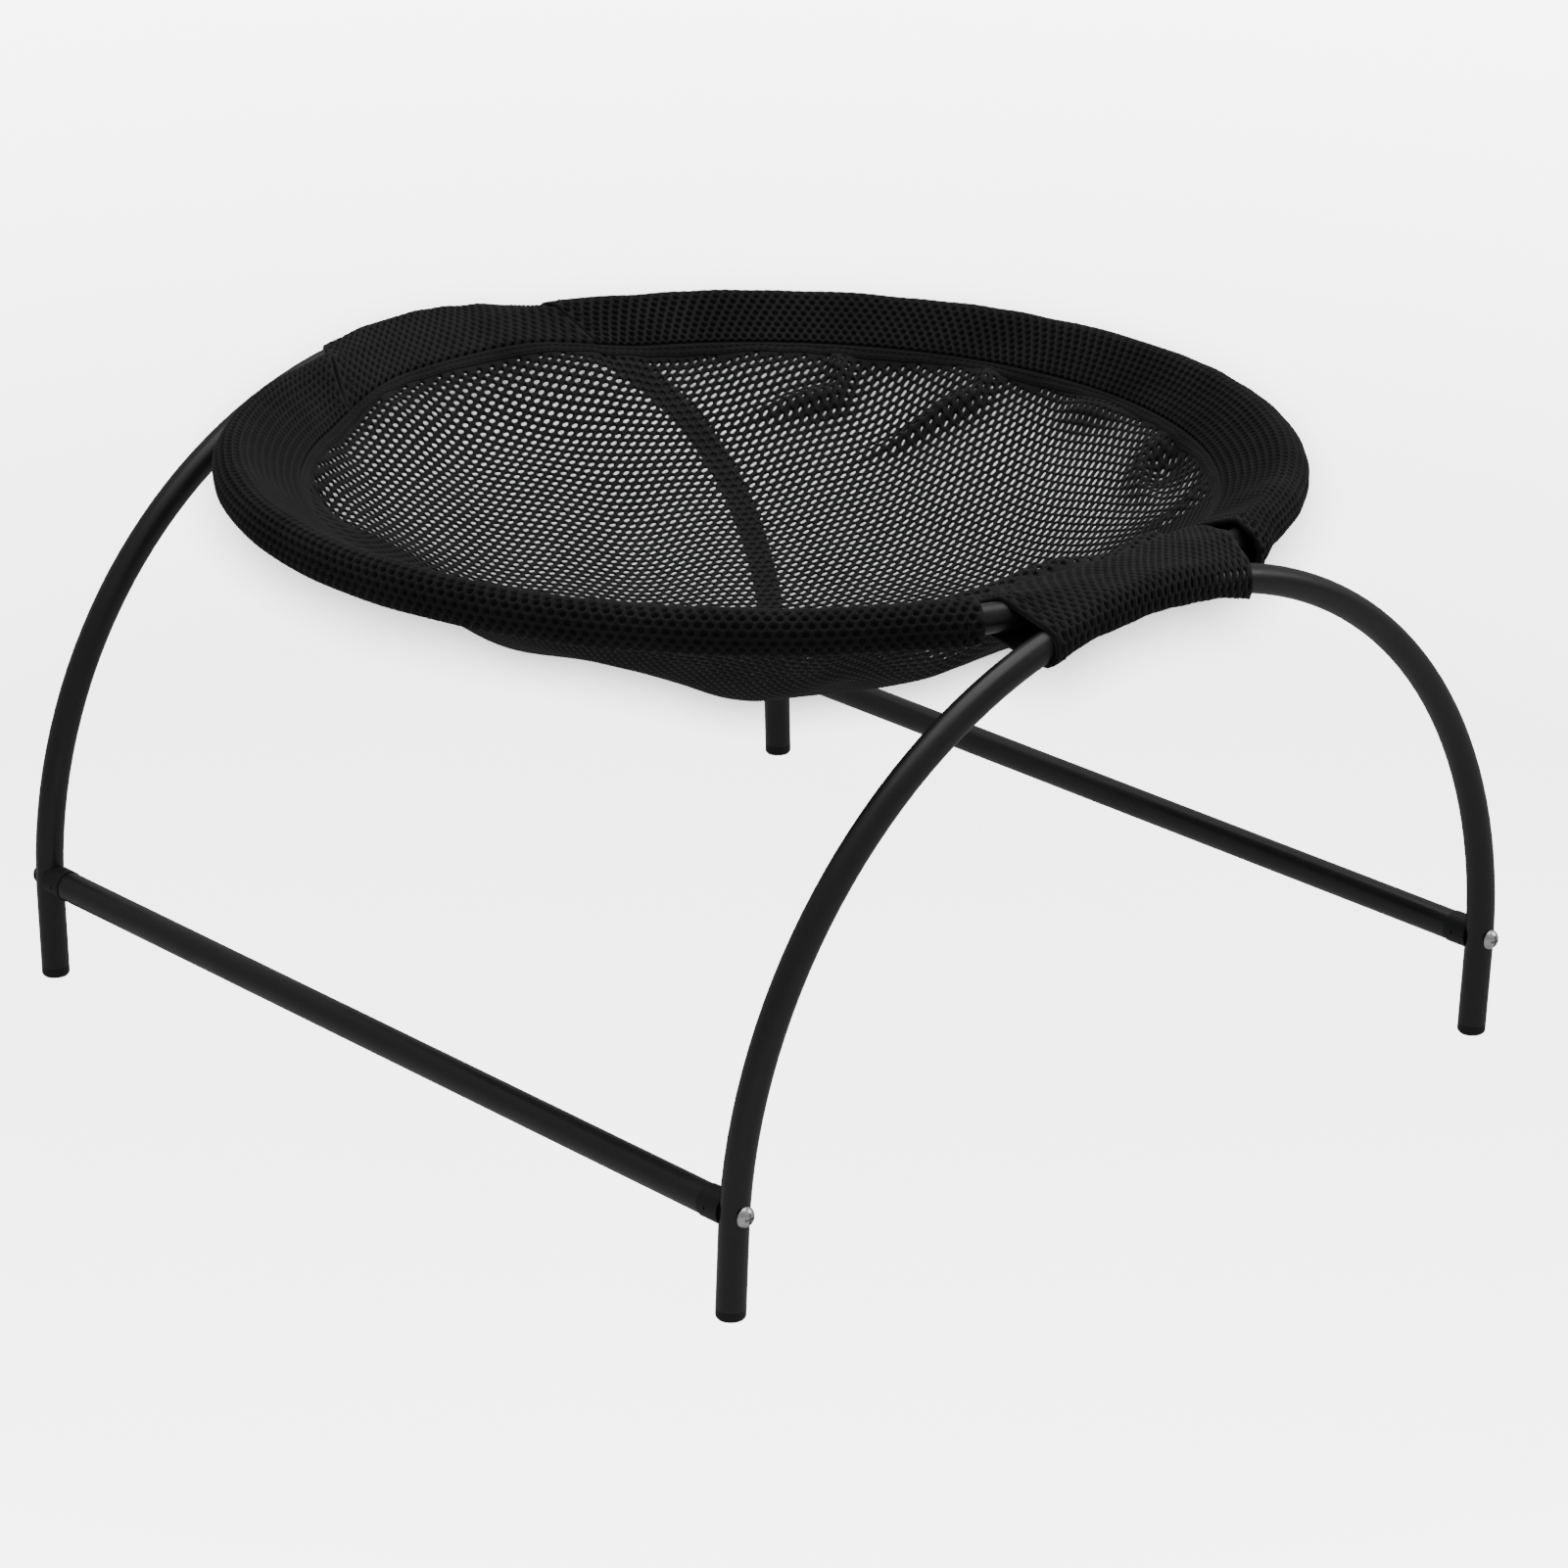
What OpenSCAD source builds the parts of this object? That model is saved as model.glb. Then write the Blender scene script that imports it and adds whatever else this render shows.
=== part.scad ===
// Raised round pet bed. Two arched tube stands and two crossbars carry a
// tube ring. A net sling hangs from the ring in sewn cloth pockets.
// Millimetres, +Z up. X runs along the span of the arches, Y along the
// crossbars. The origin is on the floor, under the middle of the ring.

/* [Arched stands] */
// Outer diameter of the arch tube
arch_tube_d = 12; // [10:0.5:14]
// Radius of the arch, to the middle of the tube
arch_r = 208.5; // [205:0.5:212]
// Distance from the middle to each arch, at crossbar height
arch_y = 222; // [218:0.5:230]
// Outward lean of each arch
lean = 2.36; // [1:0.02:4]
// Height of the arch's top, to the middle of the tube
crown_z = 246.5; // [244:0.5:252]

/* [Crossbars] */
// Outer diameter of the crossbar tube
bar_tube_d = 12.7; // [11:0.1:13.5]
// Height of the crossbars, to the middle of the tube
bar_z = 44.4; // [40:0.2:60]

/* [Ring] */
// Outer diameter of the ring tube
ring_tube_d = 12; // [9:0.5:12]
// Radius of the ring, to the middle of the tube
ring_r = 216; // [214:0.5:217]
// Height of the ring, to the middle of the tube
ring_z = 243.7; // [240:0.1:246]
// Length of the reduced end that joins one half ring to the other
spigot_len = 22; // [15:1:30]

/* [Tubing] */
// Wall of every steel tube
wall = 0.8; // [0.6:0.1:1.2]

/* [Sling] */
// Radius of the seam between the net and the rim pockets
seam_r = 190.6; // [188:0.2:194]
// Height of the seam
seam_z = 237.2; // [234:0.2:240]
// Depth of the net below its seam
sag = 74; // [40:1:110]
// Fullness of the sling: higher is flatter in the middle and steeper at the rim
belly = 2.9; // [2:0.1:4]
// Thickness of the net
net_t = 1.6; // [1:0.1:3]

/* [Rim cloth] */
// Thickness of the rim cloth, all layers together
cloth_t = 2; // [1.5:0.1:2.2]
// Ends of the rim pockets, in degrees on the ring from the X axis
pocket_end = 70.5; // [50:0.5:70.5]
// Half of the angle that an arch sleeve covers at the seam
sleeve_angle = 18.8; // [12:0.1:18.8]
// Left end of the front sleeve on the arch, from the middle
sleeve_left = 60; // [40:1:62]
// Right end of the front sleeve on the arch, from the middle
sleeve_right = 48; // [40:1:62]
// Height of a sleeve's blunt inner end, above the seam
sleeve_rise = 8; // [0:0.5:10]

/* [Fasteners] */
// Diameter of the screw's shank
screw_d = 4; // [3.5:0.5:4]
// Diameter of the screw's pan head
head_d = 8.5; // [7:0.1:9]
// Height of the screw's pan head
head_h = 2.8; // [2:0.1:3.2]

/* [Hidden] */

// Round surfaces
$fn = 64;

// A gap that keeps separate pieces apart
gap = 0.3;
// A cut runs this much past what it cuts
past = 1;

arch_tube_r = arch_tube_d / 2;
bar_tube_r = bar_tube_d / 2;
ring_tube_r = ring_tube_d / 2;

// In an arch's own plane, heights count from the crossbar's height
crown_v = (crown_z - bar_z) / cos(lean);
arch_centre_v = crown_v - arch_r;
floor_v = -bar_z / cos(lean);
// Half of the span at the crossbar's height
bar_x = sqrt(arch_r * arch_r - arch_centre_v * arch_centre_v);

// Foot caps: a collar under the tube and a plug inside it
cap_collar = 4.5;
cap_plug = 12;
cap_round = 1.6;
cap_slack = 0.05;

// Crossbar ends, counted outwards from the middle of the bed
saddle_in = arch_y - arch_tube_r - 4.3;
saddle_out = arch_y - 3.2;
flange_t = 4.2;
flange_r = bar_tube_r + 0.35;
bar_end = saddle_in - flange_t;
plug_depth = 15;
hole_r = screw_d / 2 + 0.25;
saddle_slot = 1.4;

// Square nuts of the screws, held in the plugs' inner ends
nut_w = 7;
nut_t = 3.2;
nut_bore_r = screw_d / 2 + 0.04;
screw_tip = bar_end - plug_depth - 1.5;
head_seat = arch_y + arch_tube_r + gap;
recess_w = 1.1;
recess_l = 4.6;
recess_d = 1.6;

// Rim cloth: it lies round the ring tube and narrows to the seam
cloth_out_r = ring_tube_r + 1.2 + cloth_t;
cloth_in_r = cloth_out_r - cloth_t;
seam_out_r = 1.5;
seam_in_r = 0.3;
seam_in_shift = 3;

// Sleeve sections: a loop round the arch tube, the ring tube and the seam
sleeve_in_r = max(arch_tube_r, ring_tube_r) + 0.6;
sleeve_out_r = sleeve_in_r + cloth_t;
sleeve_steps = 17;
band_sides = 36;

net_r = seam_r - seam_out_r - 0.6;
net_steps = 24;

frame_black = "#1c1c1e";
plastic_black = "#151516";
cloth_black = "#202124";
steel = "#b8babd";

// ---- Helpers ----

// Places a front arch's own plane: local Z runs up the arch, and local Y points back
module in_arch_plane() {
    translate([0, -arch_y, bar_z]) rotate([lean, 0, 0]) children();
}

// The same piece turned to the back, where left and right change places
module at_rear() {
    rotate([0, 0, 180]) children();
}

// A tube's section, centred on the origin
module tube_section(r) {
    difference() {
        circle(r = r);
        circle(r = r - wall);
    }
}

// A leg of the front arch at side s (-1 left, 1 right), from the floor line up
module on_leg(s) {
    in_arch_plane() translate([s * arch_r, 0, floor_v]) children();
}

// A section drawn along the whole front arch: the half circle, then both legs from a height up
module along_arch(from) {
    in_arch_plane() translate([0, 0, arch_centre_v]) rotate([90, 0, 0])
        rotate_extrude(angle = 180) translate([arch_r, 0]) children();
    for (s = [-1, 1])
        on_leg(s) translate([0, 0, from]) linear_extrude(arch_centre_v - floor_v - from) children();
}

// On the crossbar's axis at side s, at the front: local Z points out of the bed
module on_front_bar(s, from_middle) {
    translate([s * bar_x, -from_middle, bar_z]) rotate([90, 0, 0]) children();
}

// The outermost point, in direction a, of some circles, each [centre, radius]
function outermost(circles, a) =
    let (n = [cos(a), sin(a)])
    let (reach = [for (c = circles) c[0] * n + c[1]])
    let (k = search(max(reach), reach)[0])
    circles[k][0] + circles[k][1] * n;

// The closed outline that is stretched round some circles, as a band would be
function band(circles, sides) =
    [for (i = [0 : sides - 1]) outermost(circles, (i + 0.5) * 360 / sides)];

// ---- Steel frame ----

// One arch: two straight legs and a half circle, bored for its two screws
module arch() {
    color(frame_black) difference() {
        along_arch(cap_collar) tube_section(arch_tube_r);
        for (s = [-1, 1])
            on_front_bar(s, arch_y - arch_tube_d) cylinder(r = hole_r, h = 2 * arch_tube_d);
    }
}

module front_arch() {
    arch();
}

module rear_arch() {
    at_rear() arch();
}

// A straight tube between the legs of the front and rear arches
module crossbar(s) {
    color(frame_black) on_front_bar(s, -bar_end) linear_extrude(2 * bar_end) tube_section(bar_tube_r);
}

module left_crossbar() {
    crossbar(-1);
}

module right_crossbar() {
    crossbar(1);
}

// Half of the ring, with a reduced end that enters the other half
module ring_half() {
    butt = gap / 2 / ring_r * 180 / PI;
    spigot = spigot_len / ring_r * 180 / PI;
    spigot_r = ring_tube_r - wall - 0.05;
    color(frame_black) translate([0, 0, ring_z]) {
        rotate([0, 0, butt - 90]) rotate_extrude(angle = 180 - 2 * butt)
            translate([ring_r, 0]) tube_section(ring_tube_r);
        rotate([0, 0, 90 - butt]) rotate_extrude(angle = spigot) translate([ring_r, 0]) difference() {
            circle(r = spigot_r);
            circle(r = spigot_r - wall);
        }
        rotate([0, 0, 90 - 2 * butt - spigot / 4]) rotate_extrude(angle = spigot / 4 + 1.5 * butt)
            translate([ring_r, 0]) difference() {
                circle(r = ring_tube_r - wall / 2);
                circle(r = spigot_r - wall);
            }
    }
}

module ring_right_half() {
    ring_half();
}

module ring_left_half() {
    rotate([0, 0, 180]) ring_half();
}

// ---- Plastic fittings ----

// Foot cap at side s: a collar with a rounded lower edge, level with the floor
module foot_cap(s) {
    color(plastic_black) difference() {
        on_leg(s) rotate_extrude() {
            translate([0, -past]) square([arch_tube_r - cap_round, past + cap_collar]);
            translate([0, cap_round]) square([arch_tube_r, cap_collar - cap_round]);
            translate([arch_tube_r - cap_round, cap_round]) circle(r = cap_round);
            square([arch_tube_r - wall - cap_slack, cap_collar + cap_plug]);
        }
        translate([s * arch_r, -arch_y, -arch_tube_d]) cube([50, 50, 2 * arch_tube_d], center = true);
    }
}

module front_left_foot_cap() {
    foot_cap(-1);
}

module front_right_foot_cap() {
    foot_cap(1);
}

module rear_left_foot_cap() {
    at_rear() foot_cap(1);
}

module rear_right_foot_cap() {
    at_rear() foot_cap(-1);
}

// Saddle at side s: it cups the leg on one face and takes the plug on the other
module saddle(s) {
    color(plastic_black) difference() {
        on_front_bar(s, saddle_in) cylinder(r = flange_r, h = saddle_out - saddle_in);
        along_arch(0) circle(r = arch_tube_r + 0.03);
        on_front_bar(s, saddle_in - past) cylinder(r = hole_r, h = 2 * arch_tube_d);
        translate([s * bar_x, -saddle_in, bar_z])
            cube([2 * flange_r + past, saddle_slot, saddle_slot], center = true);
    }
}

module front_left_saddle() {
    saddle(-1);
}

module front_right_saddle() {
    saddle(1);
}

module rear_left_saddle() {
    at_rear() saddle(1);
}

module rear_right_saddle() {
    at_rear() saddle(-1);
}

// Plug in a crossbar's end at side s: a flange, a shank and a nut's pocket
module bar_plug(s) {
    shank_r = bar_tube_r - wall - cap_slack;
    color(plastic_black) difference() {
        union() {
            on_front_bar(s, bar_end) cylinder(r = flange_r, h = flange_t);
            on_front_bar(s, bar_end - plug_depth) cylinder(r = shank_r, h = plug_depth + past);
        }
        on_front_bar(s, bar_end - plug_depth - past) {
            cylinder(r = hole_r, h = plug_depth + flange_t + 2 * past);
            translate([-nut_w / 2, -nut_w / 2, 0]) cube([nut_w, nut_w, past + nut_t]);
        }
    }
}

module front_left_bar_plug() {
    bar_plug(-1);
}

module front_right_bar_plug() {
    bar_plug(1);
}

module rear_left_bar_plug() {
    at_rear() bar_plug(1);
}

module rear_right_bar_plug() {
    at_rear() bar_plug(-1);
}

// ---- Fasteners ----

// One pan head screw with a cross recess, at the front end of the bar at side s
module screw(s) {
    crown_r = (head_d * head_d / 4 + head_h * head_h) / (2 * head_h);
    difference() {
        union() {
            on_front_bar(s, screw_tip) cylinder(r = screw_d / 2, h = head_seat - screw_tip + past);
            on_front_bar(s, head_seat) intersection() {
                cylinder(r = head_d / 2, h = head_h);
                translate([0, 0, head_h - crown_r]) sphere(r = crown_r);
            }
        }
        on_front_bar(s, head_seat + head_h - recess_d) {
            translate([-recess_l / 2, -recess_w / 2, 0]) cube([recess_l, recess_w, recess_d + past]);
            translate([-recess_w / 2, -recess_l / 2, 0]) cube([recess_w, recess_l, recess_d + past]);
        }
    }
}

module frame_screws() {
    color(steel) for (s = [-1, 1]) {
        screw(s);
        at_rear() screw(s);
    }
}

// One square nut in the inner end of the plug at side s
module plug_nut(s) {
    slack = 0.1;
    on_front_bar(s, bar_end - plug_depth) difference() {
        translate([slack - nut_w / 2, slack - nut_w / 2, 0])
            cube([nut_w - 2 * slack, nut_w - 2 * slack, nut_t - slack]);
        translate([0, 0, -past]) cylinder(r = nut_bore_r, h = nut_t + 2 * past);
    }
}

module plug_nuts() {
    color(steel) for (s = [-1, 1]) {
        plug_nut(s);
        at_rear() plug_nut(s);
    }
}

// ---- Rim cloth ----

// A cloth pocket round one side of the ring, open at its ends
module rim_pocket() {
    tube_at = [ring_r, ring_z];
    seam_at = [seam_r, seam_z];
    inner_tip = seam_at + seam_in_shift * [1, 1 / 4];
    color(cloth_black) rotate([0, 0, -pocket_end]) rotate_extrude(angle = 2 * pocket_end) difference() {
        polygon(band([[tube_at, cloth_out_r], [seam_at, seam_out_r]], band_sides));
        polygon(band([[tube_at, cloth_in_r], [inner_tip, seam_in_r]], band_sides));
    }
}

module left_rim_pocket() {
    rotate([0, 0, 180]) rim_pocket();
}

module right_rim_pocket() {
    rim_pocket();
}

// Middle of the front arch's tube at x: its place on the floor plan, and its height
function arch_plan(x) = [x, -arch_y - (arch_centre_v + sqrt(arch_r * arch_r - x * x)) * sin(lean)];
function arch_height(x) = bar_z + (arch_centre_v + sqrt(arch_r * arch_r - x * x)) * cos(lean);

// One loop of the front sleeve, at a share t of its length, in the upright plane
// from the seam to the arch. It goes round both tubes and has a blunt end over the seam.
function sleeve_loop(t, tube_r, tip_r, shift) =
    let (angle = -90 + sleeve_angle * (2 * t - 1))
    let (x = -sleeve_left + (sleeve_left + sleeve_right) * t)
    let (seam = (seam_r + shift) * [cos(angle), sin(angle)])
    let (span = norm(arch_plan(x) - seam))
    let (out = (arch_plan(x) - seam) / span)
    let (inward = seam * out)
    let (to_ring = -inward + sqrt(inward * inward + ring_r * ring_r - seam * seam))
    let (circles = [
        [[span, arch_height(x)], tube_r],
        [[to_ring, ring_z], tube_r],
        [[0, seam_z + sleeve_rise], tip_r],
        [[0, seam_z + shift / 4], tip_r]])
    [for (p = band(circles, band_sides)) [each seam + p[0] * out, p[1]]];

// A cloth sleeve that holds the arch's crown and the ring together
module arch_sleeve() {
    shares = [for (i = [0 : sleeve_steps]) i / sleeve_steps];
    outer = [for (t = shares) each sleeve_loop(t, sleeve_out_r, seam_out_r, 0)];
    inner = [for (t = shares) each sleeve_loop(t, sleeve_in_r, seam_in_r, seam_in_shift)];
    n = band_sides;
    last = sleeve_steps * n;
    hole = len(outer);
    function skin(start, flip) = [
        for (i = [0 : sleeve_steps - 1], j = [0 : n - 1])
            let (a = start + i * n + j, b = start + i * n + (j + 1) % n)
            flip ? [a, b, b + n, a + n] : [a, a + n, b + n, b]];
    function rim(at, flip) = [
        for (j = [0 : n - 1])
            let (a = at + j, b = at + (j + 1) % n)
            flip ? [a, hole + a, hole + b, b] : [a, b, hole + b, hole + a]];
    color(cloth_black) polyhedron(
        points = concat(outer, inner),
        faces = concat(skin(0, false), skin(hole, true), rim(0, false), rim(last, true)),
        convexity = 6);
}

module front_arch_sleeve() {
    arch_sleeve();
}

module rear_arch_sleeve() {
    at_rear() arch_sleeve();
}

// ---- Net ----

// Height of the hanging net's upper face at radius r
function net_z(r) = seam_z - sag * (1 - pow(r / net_r, belly));

module net_sling() {
    radii = [for (i = [0 : net_steps]) net_r * i / net_steps];
    top = [for (r = radii) [r, net_z(r)]];
    bottom = [for (i = [net_steps : -1 : 0]) [radii[i], net_z(radii[i]) - net_t]];
    color(cloth_black) rotate_extrude() polygon(concat(top, bottom));
}

front_arch();
rear_arch();
left_crossbar();
right_crossbar();
ring_left_half();
ring_right_half();
front_left_foot_cap();
front_right_foot_cap();
rear_left_foot_cap();
rear_right_foot_cap();
front_left_saddle();
front_right_saddle();
rear_left_saddle();
rear_right_saddle();
front_left_bar_plug();
front_right_bar_plug();
rear_left_bar_plug();
rear_right_bar_plug();
frame_screws();
plug_nuts();
left_rim_pocket();
right_rim_pocket();
front_arch_sleeve();
rear_arch_sleeve();
net_sling();
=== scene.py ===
import math

import bmesh
import bpy
import numpy as np
from mathutils import Matrix, Vector


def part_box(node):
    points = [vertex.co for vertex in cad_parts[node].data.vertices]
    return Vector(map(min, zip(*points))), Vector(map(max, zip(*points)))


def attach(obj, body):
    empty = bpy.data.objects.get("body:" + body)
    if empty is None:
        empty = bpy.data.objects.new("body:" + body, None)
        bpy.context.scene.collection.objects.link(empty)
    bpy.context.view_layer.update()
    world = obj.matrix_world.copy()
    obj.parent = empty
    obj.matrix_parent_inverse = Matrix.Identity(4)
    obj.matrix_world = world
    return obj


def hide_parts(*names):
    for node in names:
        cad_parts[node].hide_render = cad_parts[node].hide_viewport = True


# Raised round pet bed. The steel frame, its plastic fittings and its screws are the CAD nodes with
# finer materials. The cloth is made here: a net with real holes, knitted rim pockets and sleeves.
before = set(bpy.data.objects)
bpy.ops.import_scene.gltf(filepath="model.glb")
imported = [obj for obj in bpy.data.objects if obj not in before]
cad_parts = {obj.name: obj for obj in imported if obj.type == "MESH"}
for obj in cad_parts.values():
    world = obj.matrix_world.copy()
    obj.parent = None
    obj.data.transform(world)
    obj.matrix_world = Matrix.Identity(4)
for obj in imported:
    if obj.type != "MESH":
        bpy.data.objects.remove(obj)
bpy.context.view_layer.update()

MM = 0.001
FULL = 2 * math.pi

# ---- Sizes, read from the frame ----

ring_low, ring_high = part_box("ring_right_half")
TUBE_R = (ring_high.z - ring_low.z) / 2
RING_Z = (ring_high.z + ring_low.z) / 2
RING_R = ring_high.x - TUBE_R

pocket_low, pocket_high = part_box("right_rim_pocket")
CLOTH_R = (pocket_high.z - pocket_low.z) / 2

net_low, net_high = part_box("net_sling")
NET_R = net_high.x
NET_SOLID_T = 1.6 * MM
SEAM_Z = net_high.z
SAG = SEAM_Z - net_low.z - NET_SOLID_T
BELLY = 2.9

TIP_R = 1.5 * MM
SEAM_R = NET_R + TIP_R + 0.6 * MM
# The net's edge reaches the cloth's seam
EDGE_R = SEAM_R - 0.4 * MM
# The seam is this much higher at the middle of the arch sleeves
SLEEVE_RISE = 8 * MM

arch_low, arch_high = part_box("front_arch")
ARCH_R = arch_high.x - TUBE_R
CROWN_Z = arch_high.z - TUBE_R
CROWN_Y = arch_low.y + TUBE_R
FOOT_Y = arch_high.y - TUBE_R
LEAN = math.atan2(FOOT_Y - CROWN_Y, CROWN_Z - arch_low.z)

# The front sleeve's left and right ends: their angles at the seam, and their places on the arch
SLEEVE_SEAM = (math.radians(-108.8), math.radians(-65))
SLEEVE_ARCH = (-61 * MM, 49 * MM)
SLEEVE_R = TUBE_R + 2 * MM

CLOTH_T = 2 * MM


def smooth_step(x):
    x = np.clip(x, 0, 1)
    return x * x * (3 - 2 * x)


def seam_rise(angle):
    """Height of the cloth's seam over SEAM_Z at angles round the ring, in radians."""
    middle = (SLEEVE_SEAM[0] + SLEEVE_SEAM[1]) / 2
    total = np.zeros_like(angle)
    for centre in (middle, middle + math.pi):
        away = np.abs((angle - centre + math.pi) % FULL - math.pi)
        total = total + SLEEVE_RISE * (1 - smooth_step((np.degrees(away) - 10) / 20))
    return total


# ---- Helpers for meshes and nodes ----

def make_piece(name, points, faces, material):
    """A new mesh object from points and faces, closed faces turned outwards."""
    mesh = bpy.data.meshes.new(name)
    mesh.from_pydata([tuple(p) for p in points], [], faces)
    work = bmesh.new()
    work.from_mesh(mesh)
    bmesh.ops.recalc_face_normals(work, faces=work.faces)
    work.to_mesh(mesh)
    work.free()
    mesh.validate()
    for polygon in mesh.polygons:
        polygon.use_smooth = True
    mesh.materials.append(material)
    piece = bpy.data.objects.new(name, mesh)
    bpy.context.scene.collection.objects.link(piece)
    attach(piece, "root")
    return piece


class Shader:
    """A material with one Principled BSDF, and short calls for what feeds it."""

    def __init__(self, name, color, roughness, **sockets):
        self.material = bpy.data.materials.new(name)
        self.material.use_nodes = True
        self.tree = self.material.node_tree
        self.tree.nodes.clear()
        self.output = self.tree.nodes.new("ShaderNodeOutputMaterial")
        self.bsdf = self.tree.nodes.new("ShaderNodeBsdfPrincipled")
        self.tree.links.new(self.bsdf.outputs[0], self.output.inputs["Surface"])
        self.bsdf.inputs["Base Color"].default_value = (*color, 1)
        self.bsdf.inputs["Roughness"].default_value = roughness
        for socket, value in sockets.items():
            self.bsdf.inputs[socket.replace("_", " ")].default_value = value
        self.coordinates = self.tree.nodes.new("ShaderNodeTexCoord")
        self.bump = None

    def node(self, kind, inputs=()):
        made = self.tree.nodes.new(kind)
        for socket, value in dict(inputs).items():
            made.inputs[socket].default_value = value
        return made

    def noise(self, size, detail=2.0, roughness=0.5, stretch=None):
        """Noise whose lumps are about size across, in metres."""
        inputs = {"Scale": 1 / size, "Detail": detail, "Roughness": roughness}
        noise = self.node("ShaderNodeTexNoise", inputs)
        source = self.coordinates.outputs["Object"]
        if stretch:
            mapping = self.node("ShaderNodeMapping", {"Scale": stretch})
            self.tree.links.new(source, mapping.inputs["Vector"])
            source = mapping.outputs["Vector"]
        self.tree.links.new(source, noise.inputs["Vector"])
        return noise.outputs["Fac"]

    def ramp(self, factor, low, high, start=0.3, end=0.7):
        """Colours or values between low and high as factor goes from start to end."""
        ramp = self.node("ShaderNodeValToRGB")
        ramp.color_ramp.elements[0].position = start
        ramp.color_ramp.elements[1].position = end
        ramp.color_ramp.elements[0].color = (*low, 1)
        ramp.color_ramp.elements[1].color = (*high, 1)
        self.tree.links.new(factor, ramp.inputs["Fac"])
        return ramp.outputs["Color"]

    def values(self, factor, low, high, start=0.3, end=0.7):
        """Numbers between low and high as factor goes from start to end."""
        spread = self.node(
            "ShaderNodeMapRange",
            {"From Min": start, "From Max": end, "To Min": low, "To Max": high},
        )
        self.tree.links.new(factor, spread.inputs["Value"])
        return spread.outputs["Result"]

    def feed(self, socket, source):
        self.tree.links.new(source, self.bsdf.inputs[socket])

    def add_bump(self, height, distance, strength=1.0):
        """Bump from a height, on top of any bump there is."""
        bump = self.node("ShaderNodeBump", {"Strength": strength, "Distance": distance})
        self.tree.links.new(height, bump.inputs["Height"])
        if self.bump:
            self.tree.links.new(self.bump, bump.inputs["Normal"])
        self.bump = bump.outputs["Normal"]
        self.tree.links.new(self.bump, self.bsdf.inputs["Normal"])


# ---- Materials ----

def powder_coat():
    """Satin black powder coat: a fine orange peel and faint cloudiness in its gloss."""
    coat = Shader("satin_powder_coat", (0.01, 0.01, 0.0106), 0.42, Specular_IOR_Level=0.5)
    peel = coat.noise(0.9 * MM, detail=3)
    cloud = coat.noise(24 * MM, detail=2)
    coat.add_bump(peel, 0.05 * MM, 0.5)
    coat.feed("Roughness", coat.values(cloud, 0.3, 0.42))
    coat.feed("Base Color", coat.ramp(peel, (0.005, 0.005, 0.0054), (0.009, 0.009, 0.0096)))
    return coat.material


def moulded_plastic():
    """Matte black moulded plastic with a fine spark-eroded grain."""
    plastic = Shader("moulded_black_plastic", (0.007, 0.007, 0.0074), 0.55, Specular_IOR_Level=0.35)
    grain = plastic.noise(0.45 * MM, detail=4)
    flow = plastic.noise(6 * MM, detail=2)
    plastic.add_bump(grain, 0.06 * MM, 0.6)
    plastic.feed("Roughness", plastic.values(grain, 0.46, 0.64))
    plastic.feed("Base Color", plastic.ramp(flow, (0.005, 0.005, 0.0054), (0.009, 0.009, 0.0095)))
    return plastic.material


def plated_steel(name, stretch):
    """Zinc plated steel: fine turning marks and a slight bloom."""
    steel = Shader(name, (0.62, 0.62, 0.63), 0.3, Metallic=1.0)
    marks = steel.noise(0.5 * MM, detail=3, stretch=stretch)
    bloom = steel.noise(1.6 * MM, detail=2)
    steel.add_bump(marks, 0.02 * MM, 0.5)
    steel.feed("Roughness", steel.values(marks, 0.22, 0.42))
    steel.feed("Base Color", steel.ramp(bloom, (0.5, 0.5, 0.51), (0.74, 0.74, 0.74)))
    return steel.material


def knit_yarn(name, dark, light, thread, strand=(1, 1, 1)):
    """Polyester yarn: fine filaments, a soft sheen and small changes of depth in the dye."""
    yarn = Shader(
        name, dark, 0.75,
        Specular_IOR_Level=0.22,
        Sheen_Weight=0.06,
        Sheen_Roughness=0.4,
    )
    filament = yarn.noise(thread, detail=3, roughness=0.6, stretch=strand)
    loops = yarn.noise(1.1 * MM, detail=2)
    cloud = yarn.noise(30 * MM, detail=2)
    yarn.add_bump(loops, 0.12 * MM, 0.5)
    yarn.add_bump(filament, 0.08 * MM, 0.7)
    yarn.feed("Base Color", yarn.ramp(filament, dark, light))
    yarn.feed("Roughness", yarn.values(cloud, 0.66, 0.84))
    return yarn.material


COAT = powder_coat()
PLASTIC = moulded_plastic()
SCREW_STEEL = plated_steel("zinc_plated_steel", (1, 1, 6))
NUT_STEEL = plated_steel("zinc_plated_nut_steel", (1, 6, 1))
RIM_YARN = knit_yarn("rim_mesh_yarn", (0.0045, 0.0045, 0.0051), (0.0115, 0.0115, 0.0125), 0.25 * MM)
NET_YARN = knit_yarn("sling_net_yarn", (0.008, 0.008, 0.009), (0.018, 0.018, 0.0195), 0.22 * MM)
TAPE_YARN = knit_yarn("seam_tape_yarn", (0.005, 0.005, 0.0055), (0.011, 0.011, 0.012), 0.3 * MM)
THREAD = knit_yarn("sewing_thread", (0.012, 0.012, 0.013), (0.028, 0.028, 0.03), 0.12 * MM)


# ---- Cloth sections ----

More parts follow.
